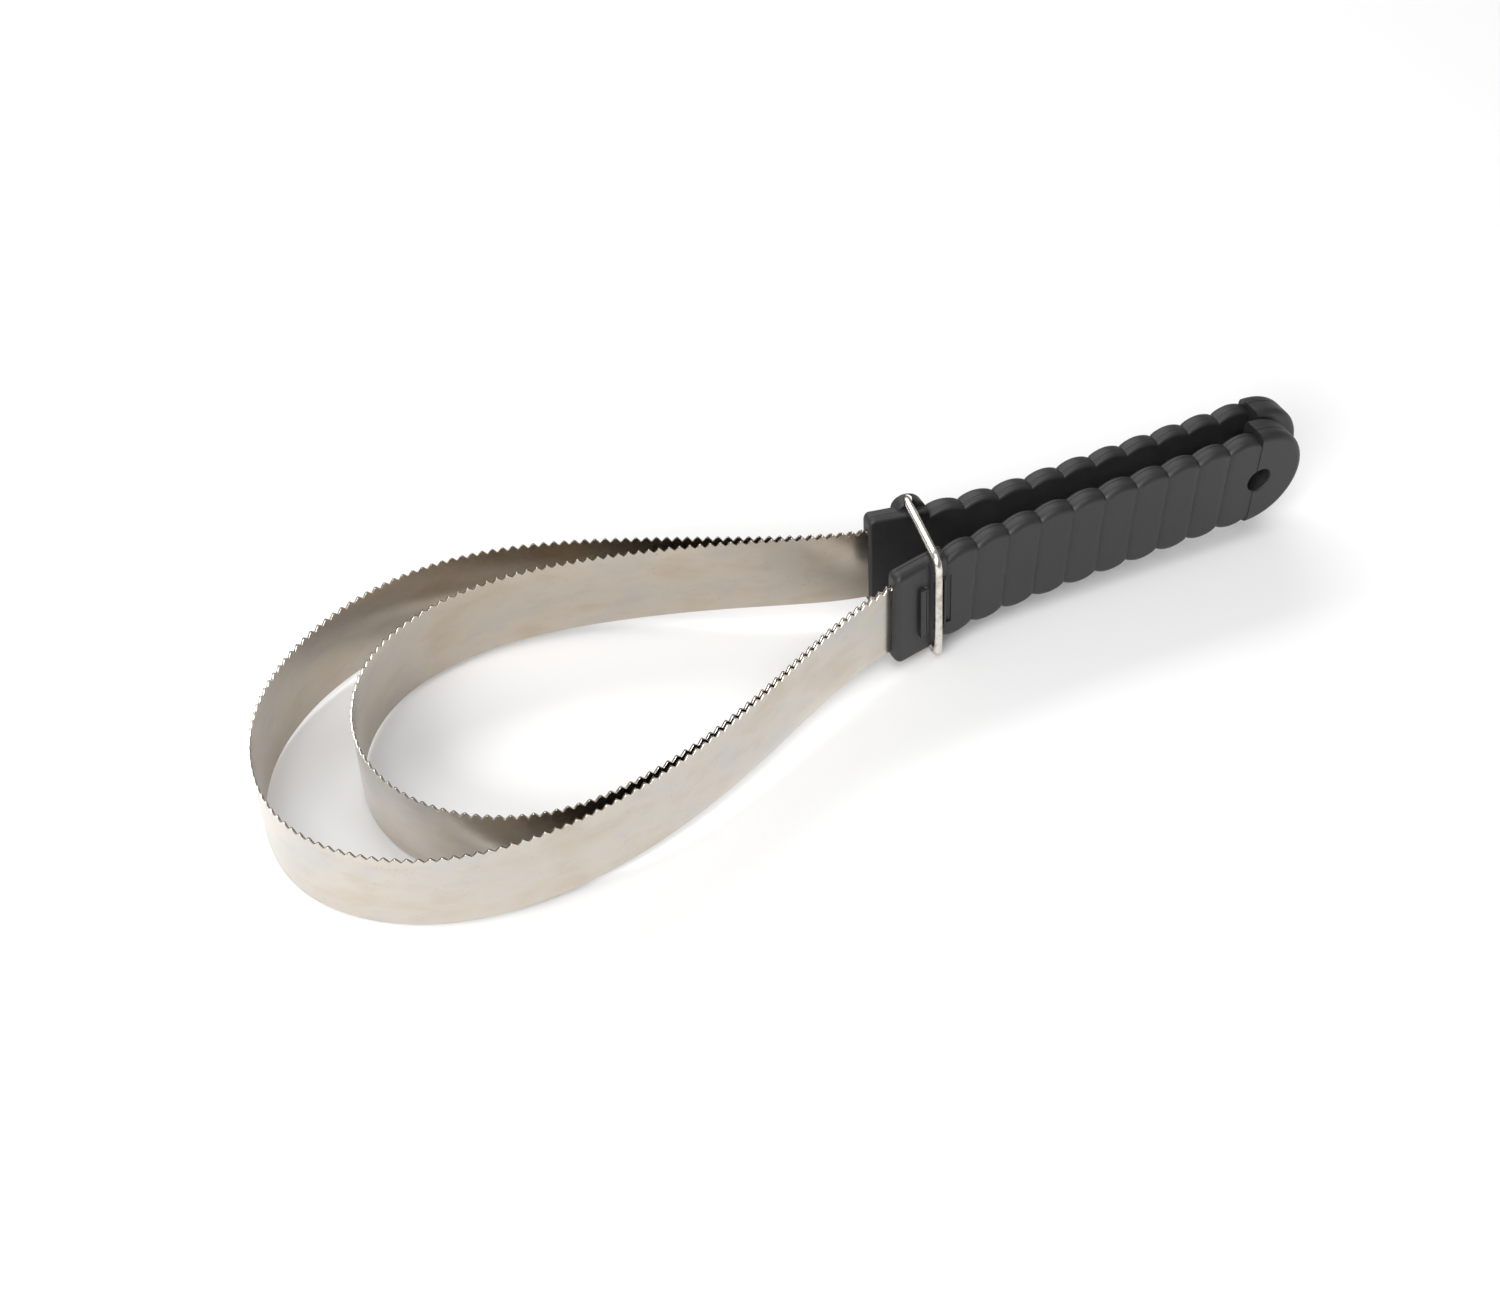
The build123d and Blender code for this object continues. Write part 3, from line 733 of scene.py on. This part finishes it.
def band_steel():
    """Satin strip steel with painted shade on its faces inside the loop: faint brushing, tan and grey-blue
    clouds, dark specks.
    """
    material, tree, shader = new_material("band_steel")
    place = place_attribute(tree, "band_place")
    streaks = noise(tree, scaled(tree, place, (50, 4200, 4200)), 1.0, 3.0, 0.6)
    clouds = noise(tree, scaled(tree, place, (48, 85, 300)), 1.0, 3.0, 0.55)
    stains = noise(tree, scaled(tree, place, (110, 240, 300)), 1.0, 4.0, 0.6)
    specks = noise(tree, scaled(tree, place, (2100, 2100, 300)), 1.0, 1.0, 0.5)
    swarms = noise(tree, scaled(tree, place, (140, 190, 300)), 1.0, 2.0, 0.5)
    base = ramp(tree, clouds, [(0.32, TAN), (0.5, CREAM), (0.68, BLUE_GREY)])
    stained = mixed(tree, ramp(tree, stains, [(0.5, grey(0)), (0.75, grey(0.35))]), base, (0.50, 0.43, 0.36))
    fine_lines = ramp(tree, streaks, [(0.3, grey(0.05)), (0.6, grey(0))])
    brushed = mixed(tree, fine_lines, stained, (0.33, 0.30, 0.27))
    dots = ramp(tree, specks, [(0.69, grey(0)), (0.74, grey(1))])
    groups = ramp(tree, swarms, [(0.50, grey(0)), (0.60, grey(0.7))])
    spotted = mixed(tree, mixed(tree, 1.0, dots, groups, "MULTIPLY"), brushed, (0.20, 0.14, 0.10))
    # Painted shade: the faces inside the loop get a base colour multiplied by (0.80, 0.77, 0.73), standing
    # in for the shade between the bands.
    facing = tree.nodes.new("ShaderNodeSeparateXYZ")
    tree.links.new(place, facing.inputs[0])
    side = spread(tree, facing.outputs["Z"], 0.0, 1.0)
    side.node.inputs["From Min"].default_value = -BAND_THICKNESS / 2 * MM
    side.node.inputs["From Max"].default_value = BAND_THICKNESS / 2 * MM
    inside_painted_shade = mixed(tree, ramp(tree, side, [(0.1, grey(1)), (0.9, grey(0))]), grey(1), (0.80, 0.77, 0.73))
    tree.links.new(mixed(tree, 1.0, spotted, inside_painted_shade, "MULTIPLY"), shader.inputs["Base Color"])
    shader.inputs["Metallic"].default_value = 1.0
    tree.links.new(spread(tree, clouds, 0.15, 0.27), shader.inputs["Roughness"])
    bumped(tree, shader, streaks, 0.08, 0.00005)
    return material


def grip_plastic():
    """Black moulded plastic with a fine grain."""
    material, tree, shader = new_material("grip_plastic")
    place = object_place(tree)
    grain = noise(tree, place, 5200.0, 2.0, 0.5)
    mottle = noise(tree, place, 260.0, 4.0, 0.6)
    colour = ramp(tree, mottle, [(0.3, (0.0145, 0.0145, 0.0155)), (0.7, (0.021, 0.0205, 0.021))])
    tree.links.new(colour, shader.inputs["Base Color"])
    tree.links.new(spread(tree, mottle, 0.42, 0.56), shader.inputs["Roughness"])
    bumped(tree, shader, grain, 0.22, 0.00005)
    return material


def ring_wire():
    """Bright plated wire with small blemishes."""
    material, tree, shader = new_material("ring_wire")
    place = object_place(tree)
    blotches = noise(tree, place, 420.0, 3.0, 0.6)
    pits = noise(tree, place, 1500.0, 2.0, 0.5)
    base = ramp(tree, blotches, [(0.35, (0.60, 0.53, 0.45)), (0.55, (0.82, 0.79, 0.74)),
                                 (0.75, (0.78, 0.76, 0.73))])
    dark = ramp(tree, pits, [(0.66, grey(0)), (0.74, grey(0.7))])
    tree.links.new(mixed(tree, dark, base, (0.22, 0.17, 0.13)), shader.inputs["Base Color"])
    shader.inputs["Metallic"].default_value = 1.0
    tree.links.new(spread(tree, blotches, 0.16, 0.34), shader.inputs["Roughness"])
    bumped(tree, shader, pits, 0.15, 0.00008)
    return material


def pin_steel():
    """Plain steel of the hidden tail pins, with turning marks."""
    material, tree, shader = new_material("pin_steel")
    marks = noise(tree, scaled(tree, object_place(tree), (900, 900, 5200)), 1.0, 2.0, 0.5)
    tree.links.new(ramp(tree, marks, [(0.3, grey(0.46)), (0.7, grey(0.62))]), shader.inputs["Base Color"])
    shader.inputs["Metallic"].default_value = 1.0
    tree.links.new(spread(tree, marks, 0.3, 0.45), shader.inputs["Roughness"])
    return material


# ---------- pieces ----------
steel = band_steel()
plastic = grip_plastic()
wire = ring_wire()
pins = pin_steel()

make_band("outer_band", "outer_blade", OUTER_LOOP, BAND_CENTRE_OFFSET, steel)
make_band("inner_band", "inner_blade", INNER_LOOP, -BAND_CENTRE_OFFSET, steel)

for side, body in ((1, "rear_grip"), (-1, "front_grip")):
    for maker, part in ((make_shell, "shell"), (make_liner, "liner")):
        piece = maker(f"{body}_{part}_skin", side)
        finish_shading(piece, GRIP_CREASE)
        piece.modifiers.new("even", "WEIGHTED_NORMAL").keep_sharp = True
        piece.data.materials.clear()
        piece.data.materials.append(plastic)
        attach(piece, body)
        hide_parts(f"{body}_{part}")
    pin_node = frame["nodes"][f"{body.split('_')[0]}_tail_pins"]
    for slot in pin_node.material_slots:
        slot.material = pins

ring = ring_object("ring_wire", WIRE_RADIUS, 0.0)
finish_shading(ring, RING_CREASE)
ring.data.materials.append(wire)
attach(ring, "ring")
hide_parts("lock_ring")


# ---------- floor, light and camera ----------
def make_floor():
    """Pale studio floor."""
    bpy.ops.mesh.primitive_plane_add(size=6.0, location=(0, 0, 0))
    floor = bpy.context.object
    floor.name = "floor"
    material, tree, shader = new_material("floor_white")
    tone = noise(tree, object_place(tree), 2.0, 2.0, 0.5)
    tree.links.new(ramp(tree, tone, [(0.2, grey(0.90)), (0.8, grey(0.92))]), shader.inputs["Base Color"])
    shader.inputs["Roughness"].default_value = 0.7
    shader.inputs["Specular IOR Level"].default_value = 0.2
    floor.data.materials.append(material)


def area_light(name, place, aim, size, power, colour=(1, 1, 1)):
    """Soft box at a place, in metres, turned to its aim."""
    data = bpy.data.lights.new(name, "AREA")
    data.shape = "RECTANGLE"
    data.size, data.size_y = size
    data.energy = power
    data.color = colour
    light = bpy.data.objects.new(name, data)
    light.location = place
    light.rotation_euler = (Vector(aim) - Vector(place)).to_track_quat("-Z", "Y").to_euler()
    bpy.context.scene.collection.objects.link(light)


def make_lights():
    """Dim white surroundings, an overhead box, a key box from the front left, and one over the far floor."""
    world = bpy.data.worlds.new("studio")
    world.use_nodes = True
    world.node_tree.nodes["Background"].inputs["Color"].default_value = (1, 1, 1, 1)
    world.node_tree.nodes["Background"].inputs["Strength"].default_value = 0.3
    bpy.context.scene.world = world
    area_light("overhead", (-0.15, -0.35, 1.2), (0, 0, 0), (1.0, 1.0), 7.4)
    area_light("key", (-1.1, -0.8, 0.8), (0, 0, 0), (0.8, 0.6), 17.0)
    area_light("background", (-0.2, 1.5, 1.4), (-0.2, 1.2, 0), (2.4, 0.8), 26.0)


def make_camera():
    """Camera at the product view's place."""
    data = bpy.data.cameras.new("camera")
    data.lens = CAMERA_LENS
    data.sensor_width = SENSOR_WIDTH
    camera = bpy.data.objects.new("camera", data)
    camera.location = to_row([CAMERA_PLACE])[0]
    turn = Euler([math.radians(a) for a in CAMERA_TURN]).to_matrix()
    tool = Matrix((ALONG, (0, 1, 0), UP)).transposed()
    camera.rotation_euler = (tool @ turn).to_euler()
    bpy.context.scene.collection.objects.link(camera)
    bpy.context.scene.camera = camera


make_floor()
make_lights()
make_camera()
bpy.context.scene.view_settings.view_transform = "Standard"
